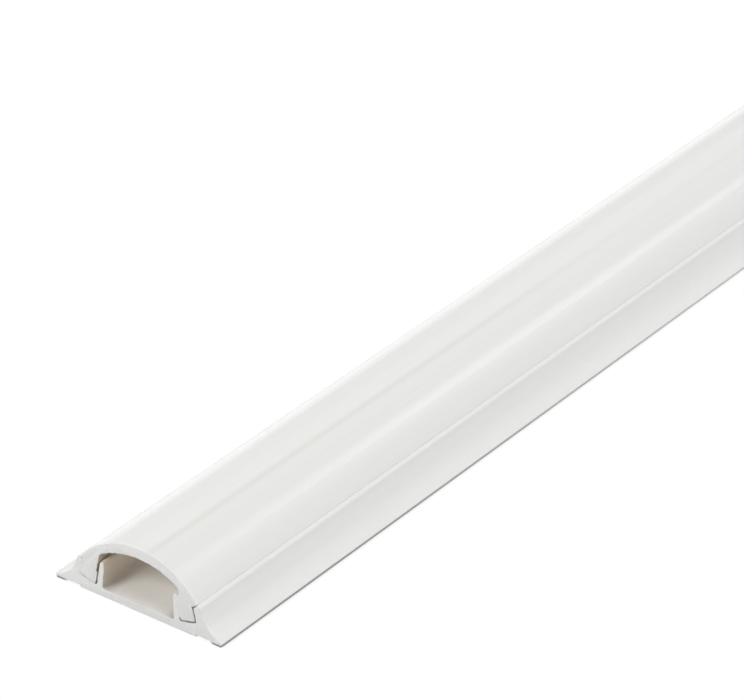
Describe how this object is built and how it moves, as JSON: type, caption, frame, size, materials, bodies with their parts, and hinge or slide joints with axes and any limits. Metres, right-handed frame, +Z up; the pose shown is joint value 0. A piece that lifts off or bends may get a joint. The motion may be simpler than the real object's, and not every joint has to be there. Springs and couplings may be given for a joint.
{
  "type": "cable raceway",
  "caption": "Straight length of white floor cable raceway: low base with sloping wings, a cable channel between ribs, and an arched cover that clicks into the base and slides along it.",
  "frame": {"origin": "on the floor, under the middle of the base", "axes": "+X along the length, +Y across the width, +Z up from the floor to the crown of the cover"},
  "size_m": [1, 0.04, 0.0141],
  "materials": {
    "base_pvc": "satin",
    "cover_pvc": "satin"
  },
  "bodies": {
    "base": {"base": "base_pvc"},
    "cover": {"cover": "cover_pvc"}
  },
  "joints": [
    {"name": "cover_slide", "type": "slide", "parent": "base", "child": "cover", "axis": [1, 0, 0], "range_m": [-1, 1]}
  ]
}
